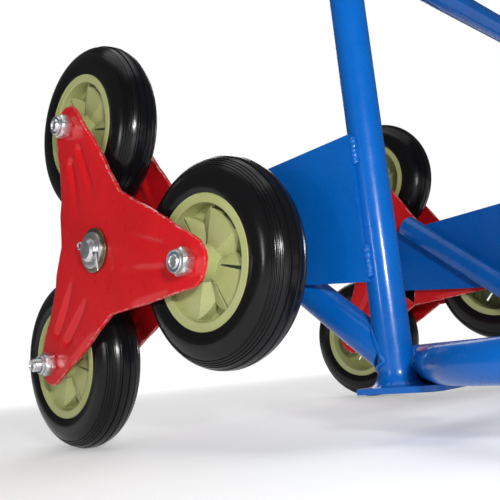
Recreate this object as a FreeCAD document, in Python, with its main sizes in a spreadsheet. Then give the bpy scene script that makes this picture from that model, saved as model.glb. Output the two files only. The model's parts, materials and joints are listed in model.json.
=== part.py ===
"""Stair-climbing hand truck: two uprights, a tubular toe, and two three-wheel stars on one axle.

Row frame in millimetres: +Z up, -Y towards the load, +X to the left of a person pushing the truck.
Z = 0 is the lowest point of the tyres, and X = Y = 0 is the middle of the truck's footprint.
Each star is built about its own axis: local z points outwards from the truck, z = 0 is the
wheels' mid-plane and local y is up.
"""
import FreeCAD, Part
import Sketcher
import math
import os

Vector = FreeCAD.Vector
Rotation = FreeCAD.Rotation
Placement = FreeCAD.Placement

DRIVING_DIMENSIONS = {
    "tyre_radius": 80.0,
    "tyre_section_radius": 20.8,
    "rim_radius": 51.0,
    "rim_inner_radius": 43.5,
    "rim_half_width": 19.2,
    "boss_radius": 14.0,
    "boss_half_length": 27.0,
    "web_thickness": 2.4,
    "web_front_height": 14.4,
    "web_rear_height": 4.4,
    "rib_thickness": 2.0,
    "slot_width": 1.4,
    "slot_margin": 3.0,
    "sector_count": 8,
    "first_rib_turn": 11.0,
    "running_gap": 0.08,
    "overlap": 1.0,
    "wheel_circle_radius": 124.5,
    "arm_tip_radius": 19.5,
    "notch_radius": 59.0,
    "plate_thickness": 3.5,
    "plate_half_gap": 27.7,
    "star_turn": 105.55,
    "wheel_plane": 222.5,
    "bolt_radius": 6.0,
    "bolt_clearance": 0.25,
    "bolt_head_height": 7.0,
    "bolt_head_radius": 10.9,
    "nut_height": 9.6,
    "nut_radius": 10.9,
    "collar_height": 3.0,
    "collar_radius": 8.6,
    "bolt_proud_top": 16.0,
    "bolt_proud_rear": 21.5,
    "bolt_proud_front": 14.2,
    "sleeve_radius": 8.0,
    "axle_radius": 10.0,
    "axle_half_length": 264.0,
    "axle_chamfer": 2.5,
    "pivot_tube_radius": 17.0,
    "washer_gap": 0.3,
    "washer_clearance": 0.2,
    "large_washer_radius": 19.0,
    "large_washer_height": 2.5,
    "small_washer_radius": 15.5,
    "small_washer_height": 2.4,
    "pin_wire_radius": 1.6,
    "pin_half_span": 11.5,
    "pin_eye_radius": 3.4,
    "pin_eye_wire_radius": 1.4,
    "pin_leg_length": 15.0,
    "pin_turn": -25.0,
    "pin_leg_bend": -59.0,
    "tube_radius": 12.7,
    "tube_wall": 1.5,
    "upright_spacing_half": 165.0,
    "upright_reach": 224.0,
    "upright_straight": 980.0,
    "handle_bend_radius": 110.0,
    "handle_bend_angle": 62.0,
    "handle_length": 135.0,
    "grip_radius": 16.5,
    "grip_length": 122.0,
    "grip_end": 6.0,
    "crossbar_radius": 11.0,
    "crossbar_first": 330.0,
    "crossbar_pitch": 260.0,
    "foot_underside": -135.5,
    "foot_thickness": 4.0,
    "foot_rear": 205.0,
    "foot_front": 267.0,
    "foot_outer": 186.7,
    "foot_inner": 126.0,
    "foot_corner": 9.0,
    "gusset_thickness": 4.0,
    "gusset_front": 222.0,
    "gusset_top": 43.5,
    "gusset_bottom": -61.0,
    "gusset_tail_radius": 36.0,
    "axle_tube_radius": 13.5,
    "brace_top_reach": 38.0,
    "brace_top_height": 39.6,
    "brace_foot_reach": 218.0,
    "brace_foot_height": -109.8,
    "toe_half_width": 218.0,
    "toe_front": 496.0,
    "toe_corner_radius": 95.0,
    "toe_splay": 50.0,
    "toe_bend_reach": 343.5,
}


class Size:
    """A length or angle that carries its number and the sheet expression it comes from."""

    def __init__(self, value, text):
        self.value = float(value)
        self.text = text

    @staticmethod
    def of(other):
        return other if isinstance(other, Size) else Size(other, repr(float(other)))

    def combined(self, other, sign, value):
        return Size(value, f"({self.text} {sign} {Size.of(other).text})")

    def __add__(self, other):
        return self.combined(other, "+", self.value + Size.of(other).value)

    def __sub__(self, other):
        return self.combined(other, "-", self.value - Size.of(other).value)

    def __mul__(self, other):
        return self.combined(other, "*", self.value * Size.of(other).value)

    def __truediv__(self, other):
        return self.combined(other, "/", self.value / Size.of(other).value)

    def __neg__(self):
        return self * -1.0


def cosine(angle):
    return Size(math.cos(math.radians(angle.value)), f"cos({angle.text} * 1 deg)")


def sine(angle):
    return Size(math.sin(math.radians(angle.value)), f"sin({angle.text} * 1 deg)")


document = FreeCAD.newDocument("hand_truck")
sheet = document.addObject("Spreadsheet::Sheet", "Dimensions")
sheet.Label = "dimensions"
sizes = {}
for row, (alias, number) in enumerate(DRIVING_DIMENSIONS.items(), start=1):
    sheet.set(f"A{row}", alias)
    sheet.set(f"B{row}", str(number))
    sheet.setAlias(f"B{row}", alias)
    sizes[alias] = Size(number, f"{sheet.Name}.{alias}")
document.recompute()


class Sheet:
    """Gives each driving dimension by name, such as size.tyre_radius."""

    def __getattr__(self, alias):
        return sizes[alias]


size = Sheet()


def bind(feature, name, amount):
    """Set a property and tie it to the sheet."""
    amount = Size.of(amount)
    setattr(feature, name, amount.value)
    feature.setExpression(name, amount.text)


def move(feature, x=0.0, y=0.0, z=0.0, rotation=None):
    """Place a feature, with its position tied to the sheet."""
    x, y, z = Size.of(x), Size.of(y), Size.of(z)
    feature.Placement = Placement(Vector(x.value, y.value, z.value), rotation or Rotation())
    for axis, amount in (("x", x), ("y", y), ("z", z)):
        if sheet.Name in amount.text:
            feature.setExpression(f"Placement.Base.{axis}", amount.text)


def cylinder(name, radius, height, z=0.0, x=0.0, y=0.0, rotation=None, angle=360.0):
    feature = document.addObject("Part::Cylinder", name)
    bind(feature, "Radius", radius)
    bind(feature, "Height", height)
    bind(feature, "Angle", angle)
    move(feature, x, y, z, rotation)
    return feature


def box(name, length, width, height, x=0.0, y=0.0, z=0.0, rotation=None):
    feature = document.addObject("Part::Box", name)
    bind(feature, "Length", length)
    bind(feature, "Width", width)
    bind(feature, "Height", height)
    move(feature, x, y, z, rotation)
    return feature


def hexagon(name, radius, height, z=0.0):
    feature = document.addObject("Part::Prism", name)
    feature.Polygon = 6
    bind(feature, "Circumradius", radius)
    bind(feature, "Height", height)
    move(feature, z=z)
    return feature


def torus(name, ring_radius, section_radius, sweep=360.0, placement=None):
    feature = document.addObject("Part::Torus", name)
    bind(feature, "Radius1", ring_radius)
    bind(feature, "Radius2", section_radius)
    feature.Angle1 = -180.0
    feature.Angle2 = 180.0
    bind(feature, "Angle3", sweep)
    if placement:
        feature.Placement = placement
    return feature


def cut(name, base, tool):
    feature = document.addObject("Part::Cut", name)
    feature.Base = base
    feature.Tool = tool
    return feature


def fuse(name, members):
    feature = document.addObject("Part::MultiFuse", name)
    feature.Shapes = members
    feature.Refine = True
    return feature


def gather(name, members):
    feature = document.addObject("Part::Compound", name)
    feature.Links = members
    return feature


def ring(name, radius, bore, height, z=0.0):
    """A washer or a tube along z."""
    return cut(name, cylinder(f"{name}_outside", radius, height, z),
               cylinder(f"{name}_bore", bore, height + size.overlap * 2.0, Size.of(z) - size.overlap))


def copy_of(name, source, placement):
    """A placed copy that follows its source."""
    feature = gather(name, [source])
    feature.Placement = placement
    return feature


nodes = {}


def node(label, feature, placement=None):
    """Name a finished sub-part, which becomes a file of its own."""
    feature.Label = label
    if placement:
        feature.Placement = placement
    nodes[label] = feature
    return feature


# ---------------------------------------------------------------- where things are

ARM_SPACING = 120.0
SLOTTED_SECTORS = (2, 6, 7)
POINT_TOLERANCE = 1e-3
SIDES = {"left": 1.0, "right": -1.0}
ARMS = ("top", "rear", "front")

rear_arm = size.star_turn + ARM_SPACING
lowest_wheel = size.wheel_circle_radius * sine(rear_arm) - size.tyre_radius
rearmost_wheel = size.wheel_circle_radius * cosine(rear_arm) - size.tyre_radius
axle_z = -lowest_wheel
axle_y = (size.toe_front + size.tube_radius + rearmost_wheel) / 2.0


def reach_y(reach):
    """Y of a point that lies 'reach' in front of the axle, towards the load."""
    return axle_y - reach


def height_z(height):
    """Z of a point 'height' above the axle."""
    return axle_z + height


def star_placement(side, turn=0.0):
    """Frame of a star, or of an arm of it turned in the plane of the wheels."""
    outward = Rotation(Vector(0, side, 0), Vector(0, 0, 1), Vector(side, 0, 0), "ZYX")
    place = Placement(Vector(side * size.wheel_plane.value, axle_y.value, axle_z.value), outward)
    return place.multiply(Placement(Vector(), Rotation(Vector(0, 0, 1), turn)))


def arm_turn(side, arm):
    """Angle of an arm in the star's local frame, the same as seen from the side on both stars."""
    turn = size.star_turn.value + ARM_SPACING * ARMS.index(arm)
    return turn if side < 0 else 180.0 - turn


def arm_placement(side, arm):
    offset = Placement(Vector(size.wheel_circle_radius.value, 0, 0), Rotation())
    return star_placement(side, arm_turn(side, arm)).multiply(offset)


# ---------------------------------------------------------------- sketches


def plane(body, role):
    return next(part for part in body.Origin.OriginFeatures if part.Role == role)


def new_body(name):
    return document.addObject("PartDesign::Body", name)


def new_sketch(body, name, role="XY_Plane"):
    sketch = body.newObject("Sketcher::SketchObject", name)
    sketch.AttachmentSupport = [(plane(body, role), "")]
    sketch.MapMode = "FlatFace"
    return sketch


def fix_point(sketch, geometry, end, x, y):
    """Tie a point of a sketch to the sheet."""
    for kind, amount in (("DistanceX", Size.of(x)), ("DistanceY", Size.of(y))):
        index = sketch.addConstraint(Sketcher.Constraint(kind, -1, 1, geometry, end, amount.value))
        if sheet.Name in amount.text:
            sketch.setExpression(f"Constraints[{index}]", amount.text)


def fix_radius(sketch, geometry, radius):
    index = sketch.addConstraint(Sketcher.Constraint("Radius", geometry, radius.value))
    sketch.setExpression(f"Constraints[{index}]", radius.text)


def add_circle(sketch, x, y, radius):
    x, y = Size.of(x), Size.of(y)
    circle = Part.Circle(Vector(x.value, y.value, 0), Vector(0, 0, 1), radius.value)
    geometry = sketch.addGeometry(circle, False)
    fix_point(sketch, geometry, 3, x, y)
    fix_radius(sketch, geometry, radius)


def tangent_point(corner, centre, radius, turn):
    """Where a line from a corner touches a circle; turn is +1 or -1 for its two sides."""
    away = centre - corner
    slope = math.atan2(away.y, away.x) + turn * math.asin(radius / away.Length)
    length = math.sqrt(away.Length ** 2 - radius ** 2)
    return corner + Vector(math.cos(slope), math.sin(slope), 0) * length


def add_nosed_outline(sketch, root, lower, upper, centre_x, radius):
    """Closed outline: root, lower corner, tangent to a round nose, upper corner, root."""
    points = [Vector(Size.of(x).value, Size.of(y).value, 0) for x, y in (lower, upper)]
    centre = Vector(Size.of(centre_x).value, 0, 0)
    side = 1.0 if centre.x > points[0].x else -1.0
    start = tangent_point(points[0], centre, radius.value, -side)
    finish = tangent_point(points[1], centre, radius.value, side)
    angles = [math.atan2(p.y - centre.y, p.x - centre.x) for p in (start, finish)]
    if side < 0:
        angles = [angles[1], angles[0] + 2.0 * math.pi]
    nose = Part.ArcOfCircle(Part.Circle(centre, Vector(0, 0, 1), radius.value), angles[0], angles[1])
    ends = (1, 2) if side > 0 else (2, 1)
    start_line = sketch.addGeometry(Part.LineSegment(points[0], start), False)
    arc = sketch.addGeometry(nose, False)
    finish_line = sketch.addGeometry(Part.LineSegment(finish, points[1]), False)
    sketch.addConstraint(Sketcher.Constraint("Tangent", start_line, 2, arc, ends[0]))
    sketch.addConstraint(Sketcher.Constraint("Tangent", arc, ends[1], finish_line, 1))
    fix_point(sketch, start_line, 1, *lower)
    fix_point(sketch, finish_line, 2, *upper)
    fix_point(sketch, arc, 3, centre_x, 0.0)
    fix_radius(sketch, arc, radius)
    if root is None:
        closing = sketch.addGeometry(Part.LineSegment(points[1], points[0]), False)
        sketch.addConstraint(Sketcher.Constraint("Coincident", finish_line, 2, closing, 1))
        sketch.addConstraint(Sketcher.Constraint("Coincident", closing, 2, start_line, 1))
        return
    hub = Vector(Size.of(root[0]).value, Size.of(root[1]).value, 0)
    inward = sketch.addGeometry(Part.LineSegment(points[1], hub), False)
    outward = sketch.addGeometry(Part.LineSegment(hub, points[0]), False)
    sketch.addConstraint(Sketcher.Constraint("Coincident", finish_line, 2, inward, 1))
    sketch.addConstraint(Sketcher.Constraint("Coincident", inward, 2, outward, 1))
    sketch.addConstraint(Sketcher.Constraint("Coincident", outward, 2, start_line, 1))
    fix_point(sketch, inward, 2, *root)


def add_polygon(sketch, corners):
    points = [Vector(Size.of(x).value, Size.of(y).value, 0) for x, y in corners]
    count = len(points)
    lines = [sketch.addGeometry(Part.LineSegment(points[n], points[(n + 1) % count]), False)
             for n in range(count)]
    for n in range(count):
        sketch.addConstraint(Sketcher.Constraint("Coincident", lines[n], 2, lines[(n + 1) % count], 1))
        fix_point(sketch, lines[n], 1, *corners[n])


def pad(body, sketch, name, height):
    feature = body.newObject("PartDesign::Pad", name)
    feature.Profile = sketch
    bind(feature, "Length", height)
    sketch.Visibility = False
    return feature


def pocket_through(body, sketch, name):
    feature = body.newObject("PartDesign::Pocket", name)
    feature.Profile = sketch
    feature.Type = 1
    feature.Midplane = True
    return feature


def polar(body, features, name, count):
    feature = body.newObject("PartDesign::PolarPattern", name)
    feature.Originals = features
    feature.Axis = (plane(body, "Z_Axis"), [""])
    feature.Angle = 360.0
    feature.Occurrences = count
    body.Tip = feature
    return feature


# ---------------------------------------------------------------- wheels


def make_tyre():
    """Solid rubber tyre: a round section seated on the rim."""
    centre_radius = size.tyre_radius - size.tyre_section_radius
    section = torus("tyre_section", centre_radius, size.tyre_section_radius)
    seat_half = size.tyre_section_radius + size.overlap
    seat = cylinder("tyre_seat", size.rim_radius, seat_half * 2.0, -seat_half)
    return cut("tyre", section, seat)


def make_hub():
    """Moulded hub: a rim, a long boss, and a pleated web of eight panels with slots beside its ribs."""
    pitch = 360.0 / size.sector_count.value
    members = [ring("hub_rim", size.rim_radius, size.rim_inner_radius, size.rim_half_width * 2.0,
                    -size.rim_half_width)]
    members.append(cylinder("hub_boss", size.boss_radius, size.boss_half_length * 2.0,
                            -size.boss_half_length))
    web_radius = size.rim_inner_radius + size.overlap
    rib_height = size.web_front_height - size.web_rear_height + size.web_thickness
    for sector in range(int(size.sector_count.value)):
        turn = Rotation(Vector(0, 0, 1), size.first_rib_turn.value + sector * pitch)
        top = size.web_rear_height if sector % 2 else size.web_front_height
        members.append(cylinder(f"hub_panel_{sector}", web_radius, size.web_thickness,
                                top - size.web_thickness, rotation=turn, angle=pitch))
        members.append(box(f"hub_rib_{sector}", web_radius, size.rib_thickness, rib_height,
                           z=size.web_rear_height - size.web_thickness, rotation=turn))
    solid = fuse("hub_solid", members)
    slots = []
    slot_start = size.boss_radius + size.slot_margin
    for sector in SLOTTED_SECTORS:
        turn = Rotation(Vector(0, 0, 1), size.first_rib_turn.value + sector * pitch)
        offset = turn.multVec(Vector(slot_start.value, size.rib_thickness.value, 0))
        slots.append(box(f"hub_slot_{sector}", size.rim_inner_radius - size.overlap - slot_start,
                         size.slot_width, size.web_front_height + size.overlap,
                         x=offset.x, y=offset.y, rotation=turn))
    bore_half = size.boss_half_length + size.overlap
    bore = cylinder("hub_bore", size.sleeve_radius + size.running_gap, bore_half * 2.0, -bore_half)
    return cut("hub", solid, gather("hub_openings", slots + [bore]))


# ---------------------------------------------------------------- stars


def make_star_plate(name):
    """Pressed three-armed plate with a pivot hole and three bolt holes."""
    body = new_body(name)
    half = Size.of(ARM_SPACING / 2.0)
    corner_x = size.notch_radius * cosine(half)
    corner_y = size.notch_radius * sine(half)
    outline = new_sketch(body, f"{name}_arm_outline")
    add_nosed_outline(outline, (0.0, 0.0), (corner_x, -corner_y), (corner_x, corner_y),
                      size.wheel_circle_radius, size.arm_tip_radius)
    arm = pad(body, outline, f"{name}_arm", size.plate_thickness)
    hole = new_sketch(body, f"{name}_bolt_outline")
    add_circle(hole, size.wheel_circle_radius, 0.0, size.bolt_radius + size.bolt_clearance)
    document.recompute()
    bolt_hole = pocket_through(body, hole, f"{name}_bolt_hole")
    polar(body, [arm, bolt_hole], f"{name}_arms", len(ARMS))
    document.recompute()
    pivot = new_sketch(body, f"{name}_pivot_outline")
    add_circle(pivot, 0.0, 0.0, size.axle_radius + size.running_gap)
    body.Tip = pocket_through(body, pivot, f"{name}_pivot_hole")
    return body


def make_bolt(name, proud):
    """Hexagon bolt along z with its head under the inner plate."""
    outer = size.plate_half_gap + size.plate_thickness
    head = hexagon(f"{name}_head", size.bolt_head_radius, size.bolt_head_height,
                   -outer - size.bolt_head_height)
    shank = cylinder(f"{name}_shank", size.bolt_radius, outer * 2.0 + proud, -outer)
    return fuse(name, [head, shank])


def make_nut():
    """Hexagon of a locking nut, seated on the outer plate, with a recess for its collar."""
    outer = size.plate_half_gap + size.plate_thickness
    return cut("nut", hexagon("nut_hexagon", size.nut_radius, size.nut_height, outer),
               cylinder("nut_bore", size.bolt_radius, size.nut_height + size.overlap * 2.0,
                        outer - size.overlap))


def make_nut_collar():
    outer = size.plate_half_gap + size.plate_thickness + size.nut_height
    return ring("nut_collar", size.collar_radius, size.bolt_radius, size.collar_height, outer)


def make_wheel_sleeve():
    return ring("wheel_sleeve", size.sleeve_radius, size.bolt_radius, size.plate_half_gap * 2.0,
                -size.plate_half_gap)


def make_pivot_tube():
    return ring("pivot_tube", size.pivot_tube_radius, size.axle_radius + size.running_gap,
                size.plate_half_gap * 2.0, -size.plate_half_gap)


# ---------------------------------------------------------------- tubes


class TubeRun:
    """Builds a bent tube piece by piece; local z of 'here' is the way it runs."""

    def __init__(self, name, start, radius):
        self.name = name
        self.here = start
        self.radius = radius
        self.outside = []
        self.inside = []

    def straight(self, length):
        for members, radius in ((self.outside, self.radius), (self.inside, self.radius - size.tube_wall)):
            piece = cylinder(f"{self.name}_run", radius, length)
            piece.Placement = self.here
            members.append(piece)
        self.here = self.here.multiply(Placement(Vector(0, 0, Size.of(length).value), Rotation()))

    def bend(self, radius, angle, roll=0.0):
        """Bend towards local x after turning the frame about the run by 'roll'."""
        self.here = self.here.multiply(Placement(Vector(), Rotation(Vector(0, 0, 1), roll)))
        reach = Placement(Vector(radius.value, 0, 0), Rotation())
        frame = Placement(Vector(), Rotation(Vector(-1, 0, 0), Vector(0, 0, 1), Vector(0, 1, 0), "ZXY"))
        centre = self.here.multiply(reach).multiply(frame)
        for members, section in ((self.outside, self.radius), (self.inside, self.radius - size.tube_wall)):
            members.append(torus(f"{self.name}_bend", radius, section, angle, centre))
        turn = Placement(Vector(), Rotation(Vector(0, 1, 0), Size.of(angle).value))
        back = Placement(Vector(-radius.value, 0, 0), Rotation())
        self.here = self.here.multiply(reach).multiply(turn).multiply(back)

    def finish(self, fitted_to=()):
        outside = self.outside[0] if len(self.outside) == 1 else fuse(f"{self.name}_outside", self.outside)
        inside = self.inside[0] if len(self.inside) == 1 else fuse(f"{self.name}_inside", self.inside)
        tube = cut(f"{self.name}_tube", outside, inside)
        for index, neighbour in enumerate(fitted_to):
            tube = cut(f"{self.name}_fitted_{index}", tube, neighbour)
        return tube


def along_x(x, y, z):
    """Start of a run in the +X direction."""
    turn = Rotation(Vector(0, 0, -1), Vector(0, 1, 0), Vector(1, 0, 0), "ZXY")
    return Placement(Vector(x, y, z), turn)


tube_level = size.foot_underside + size.foot_thickness + size.tube_radius
foot_top_z = height_z(size.foot_underside + size.foot_thickness)
upright_y = reach_y(size.upright_reach)


def upright_envelope(side_name, side):
    """Solid outside of an upright's straight run, for fitting other tubes to it."""
    return cylinder(f"upright_envelope_{side_name}", size.tube_radius, size.upright_straight, foot_top_z,
                    size.upright_spacing_half * side, upright_y)


def make_upright(side_name, side):
    start = Placement(Vector(side * size.upright_spacing_half.value, upright_y.value, foot_top_z.value),
                      Rotation())
    run = TubeRun(f"upright_{side_name}", start, size.tube_radius)
    run.straight(size.upright_straight)
    run.bend(size.handle_bend_radius, size.handle_bend_angle, 90.0)
    grip_start = run.here.multiply(
        Placement(Vector(0, 0, size.handle_length.value - size.grip_length.value), Rotation()))
    run.straight(size.handle_length)
    node(f"upright_{side_name}", run.finish())
    grip = cut(f"grip_{side_name}",
               cylinder(f"grip_outside_{side_name}", size.grip_radius, size.grip_length + size.grip_end),
               cylinder(f"grip_inside_{side_name}", size.tube_radius, size.grip_length + size.overlap,
                        -size.overlap))
    node(f"handle_grip_{side_name}", grip, grip_start)


def make_crossbars(envelopes):
    """Three straight bars between the uprights."""
    names = ("lower", "middle", "upper")
    for index, name in enumerate(names):
        level = foot_top_z.value + size.crossbar_first.value + index * size.crossbar_pitch.value
        half = size.upright_spacing_half.value
        run = TubeRun(f"cross_bar_{name}", along_x(-half, upright_y.value, level), size.crossbar_radius)
        run.straight(size.upright_spacing_half * 2.0)
        node(f"cross_bar_{name}", run.finish(envelopes))


def make_foot_tube(envelopes):
    """Floor-level tube between the uprights that closes the toe."""
    half = size.upright_spacing_half.value
    start = along_x(-half, upright_y.value, height_z(tube_level).value)
    run = TubeRun("foot_cross_tube", start, size.tube_radius)
    run.straight(size.upright_spacing_half * 2.0)
    node("foot_cross_tube", run.finish(envelopes))
    return cylinder("foot_tube_envelope", size.tube_radius, size.upright_spacing_half * 2.0,
                    x=-size.upright_spacing_half, y=upright_y, z=height_z(tube_level),
                    rotation=start.Rotation)


def make_toe_loop(envelopes):
    """Toe: one bent tube that starts and ends on the floor-level tube and runs round the load's edge."""
    radius = size.toe_corner_radius
    middle = along_x(0.0, reach_y(size.toe_front).value, height_z(tube_level).value)
    half_turn = Placement(Vector(), Rotation(Vector(1, 0, 0), 180.0))
    bend_end = size.toe_bend_reach - radius * sine(size.toe_splay)
    diagonal = (bend_end - size.upright_reach) / cosine(size.toe_splay)
    halves = []
    for side_name, side in SIDES.items():
        start = middle if side > 0 else middle.multiply(half_turn)
        run = TubeRun(f"toe_half_{side_name}", start, size.tube_radius)
        run.straight(size.toe_half_width - radius)
        run.bend(radius, Size.of(90.0), 90.0 * side)
        run.straight(size.toe_front - radius - size.toe_bend_reach)
        run.bend(radius, size.toe_splay)
        run.straight(diagonal)
        halves.append(run)
    outside = fuse("toe_outside", halves[0].outside + halves[1].outside)
    inside = fuse("toe_inside", halves[0].inside + halves[1].inside)
    loop = cut("toe_tube", outside, inside)
    for index, neighbour in enumerate(envelopes):
        loop = cut(f"toe_fitted_{index}", loop, neighbour)
    node("toe_loop", loop)


def make_brace(side_name, side, envelopes):
    """Diagonal tube from the foot of an upright to the top of its gusset."""
    x = side * size.upright_spacing_half.value
    foot = Vector(x, reach_y(size.brace_foot_reach).value, height_z(size.brace_foot_height).value)
    top = Vector(x, reach_y(size.brace_top_reach).value, height_z(size.brace_top_height).value)
    run_x = size.brace_foot_reach - size.brace_top_reach
    slope = math.atan2(top.z - foot.z, top.y - foot.y)
    length = run_x / Size.of(math.cos(slope))
    start = Placement(foot, Rotation(Vector(0, 0, 1), top - foot))
    run = TubeRun(f"brace_{side_name}", start, size.tube_radius)
    run.straight(length)
    node(f"brace_{side_name}", run.finish(envelopes))


# ---------------------------------------------------------------- frame plates

FACING_OUT = Rotation(Vector(0, -1, 0), Vector(0, 0, 1), Vector(-1, 0, 0), "ZYX")


def make_gusset(side_name, side):
    """Plate on the outside of an upright that carries the axle."""
    body = new_body(f"gusset_{side_name}_body")
    outline = new_sketch(body, f"gusset_{side_name}_outline")
    add_nosed_outline(outline, None, (size.gusset_front, size.gusset_bottom),
                      (size.gusset_front, size.gusset_top), 0.0, size.gusset_tail_radius)
    pad(body, outline, f"gusset_{side_name}_pad", size.gusset_thickness)
    document.recompute()
    hole = new_sketch(body, f"gusset_{side_name}_hole_outline")
    add_circle(hole, 0.0, 0.0, size.axle_radius)
    body.Tip = pocket_through(body, hole, f"gusset_{side_name}_hole")
    inner = size.upright_spacing_half + size.tube_radius
    x = inner + size.gusset_thickness if side > 0 else -inner
    node(f"gusset_{side_name}", body, Placement(Vector(x.value, axle_y.value, axle_z.value), FACING_OUT))


def make_foot_plate(side_name, side):
    """Floor plate under an upright, with its front outer corner rounded."""
    body = new_body(f"foot_{side_name}_body")
    outline = new_sketch(body, f"foot_{side_name}_outline")
    corners = [(size.foot_inner * side, -size.foot_rear), (size.foot_outer * side, -size.foot_rear),
               (size.foot_outer * side, -size.foot_front), (size.foot_inner * side, -size.foot_front)]
    add_polygon(outline, corners)
    base = pad(body, outline, f"foot_{side_name}_pad", size.foot_thickness)
    document.recompute()
    corner = Vector(side * size.foot_outer.value, -size.foot_front.value, size.foot_thickness.value / 2.0)
    edges = enumerate(base.Shape.Edges, start=1)
    name = next(f"Edge{n}" for n, edge in edges if edge.CenterOfMass.isEqual(corner, POINT_TOLERANCE))
    fillet = body.newObject("PartDesign::Fillet", f"foot_{side_name}_corner")
    fillet.Base = (base, [name])
    bind(fillet, "Radius", size.foot_corner)
    body.Tip = fillet
    node(f"foot_plate_{side_name}", body)
    move(body, y=axle_y, z=height_z(size.foot_underside))


# ---------------------------------------------------------------- axle fittings


def make_split_pin(side_name, side):
    """Split pin through the end of the axle: a straight shank, an eye and a bent leg."""
    shank = cylinder(f"pin_shank_{side_name}", size.pin_wire_radius, size.pin_half_span * 2.0,
                     x=-size.pin_half_span, rotation=Rotation(Vector(0, 1, 0), 90.0))
    eye_centre = Vector(-(size.pin_half_span.value + size.pin_eye_radius.value), 0, 0)
    eye = torus(f"pin_eye_{side_name}", size.pin_eye_radius, size.pin_eye_wire_radius,
                placement=Placement(eye_centre, Rotation()))
    bend = math.radians(-side * size.pin_leg_bend.value)
    direction = Vector(math.cos(bend), math.sin(bend), 0)
    leg = cylinder(f"pin_leg_{side_name}", size.pin_wire_radius, size.pin_leg_length,
                   x=size.pin_half_span, rotation=Rotation(Vector(0, 0, 1), direction))
    knee = document.addObject("Part::Sphere", f"pin_knee_{side_name}")
    bind(knee, "Radius", size.pin_wire_radius)
    move(knee, x=size.pin_half_span)
    return fuse(f"pin_{side_name}_solid", [shank, eye, knee, leg])


def make_axle(pin_frames):
    """Solid axle with a cross hole at each end for its split pin."""
    bar = cylinder("axle_bar", size.axle_radius, size.axle_half_length * 2.0,
                   x=-size.axle_half_length, y=axle_y, z=axle_z, rotation=Rotation(Vector(0, 1, 0), 90.0))
    ends = document.addObject("Part::Chamfer", "axle_chamfered")
    ends.Base = bar
    document.recompute()
    chamfer = size.axle_chamfer.value
    ends.Edges = [(n, chamfer, chamfer) for n, edge in enumerate(bar.Shape.Edges, start=1)
                  if edge.Closed and isinstance(edge.Curve, Part.Circle)]
    bar = ends
    drill_half = size.axle_radius + size.overlap
    for side_name, frame in pin_frames.items():
        drill = cylinder(f"axle_pin_hole_{side_name}", size.pin_wire_radius, drill_half * 2.0)
        turn = Placement(Vector(), Rotation(Vector(0, 1, 0), 90.0))
        back = Placement(Vector(0, 0, -drill_half.value), Rotation())
        drill.Placement = frame.multiply(turn).multiply(back)
        bar = cut(f"axle_drilled_{side_name}", bar, drill)
    node("axle", bar)


def make_axle_fittings():
    plate_face = size.plate_half_gap + size.plate_thickness
    washer_start = plate_face + size.washer_gap
    second_start = washer_start + size.large_washer_height
    pin_level = second_start + size.small_washer_height + size.pin_wire_radius
    gusset_face = size.upright_spacing_half + size.tube_radius + size.gusset_thickness
    spacer_start = gusset_face - size.wheel_plane
    spacer_length = size.wheel_plane - gusset_face - plate_face - size.washer_gap
    bore = size.axle_radius + size.washer_clearance
    pin_frames = {}
    for side_name, side in SIDES.items():
        frame = star_placement(side)
        node(f"axle_spacer_{side_name}", ring(f"spacer_{side_name}", size.small_washer_radius, bore,
                                              spacer_length, spacer_start), frame)
        node(f"large_washer_{side_name}", ring(f"washer_a_{side_name}", size.large_washer_radius, bore,
                                               size.large_washer_height, washer_start), frame)
        node(f"small_washer_{side_name}", ring(f"washer_b_{side_name}", size.small_washer_radius, bore,
                                               size.small_washer_height, second_start), frame)
        turn = size.pin_turn.value if side < 0 else 180.0 - size.pin_turn.value
        pin_turn = Rotation(Vector(0, 0, 1), turn)
        pin_frame = frame.multiply(Placement(Vector(0, 0, pin_level.value), pin_turn))
        node(f"split_pin_{side_name}", make_split_pin(side_name, side), pin_frame)
        pin_frames[side_name] = pin_frame
    make_axle(pin_frames)
    tube_half = size.upright_spacing_half + size.tube_radius
    tube = ring("axle_tube_ring", size.axle_tube_radius, bore, tube_half * 2.0, -tube_half)
    across = Rotation(Vector(0, 1, 0), 90.0)
    node("axle_tube", tube, Placement(Vector(0, axle_y.value, axle_z.value), across))


# ---------------------------------------------------------------- assembly


def make_frame():
    envelopes = [upright_envelope(name, side) for name, side in SIDES.items()]
    foot_tube = make_foot_tube(envelopes)
    for envelope, (side_name, side) in zip(envelopes, SIDES.items()):
        make_upright(side_name, side)
        make_foot_plate(side_name, side)
        make_gusset(side_name, side)
        make_brace(side_name, side, [envelope, foot_tube])
    make_crossbars(envelopes)
    make_toe_loop(envelopes + [foot_tube])
    make_axle_fittings()


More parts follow.
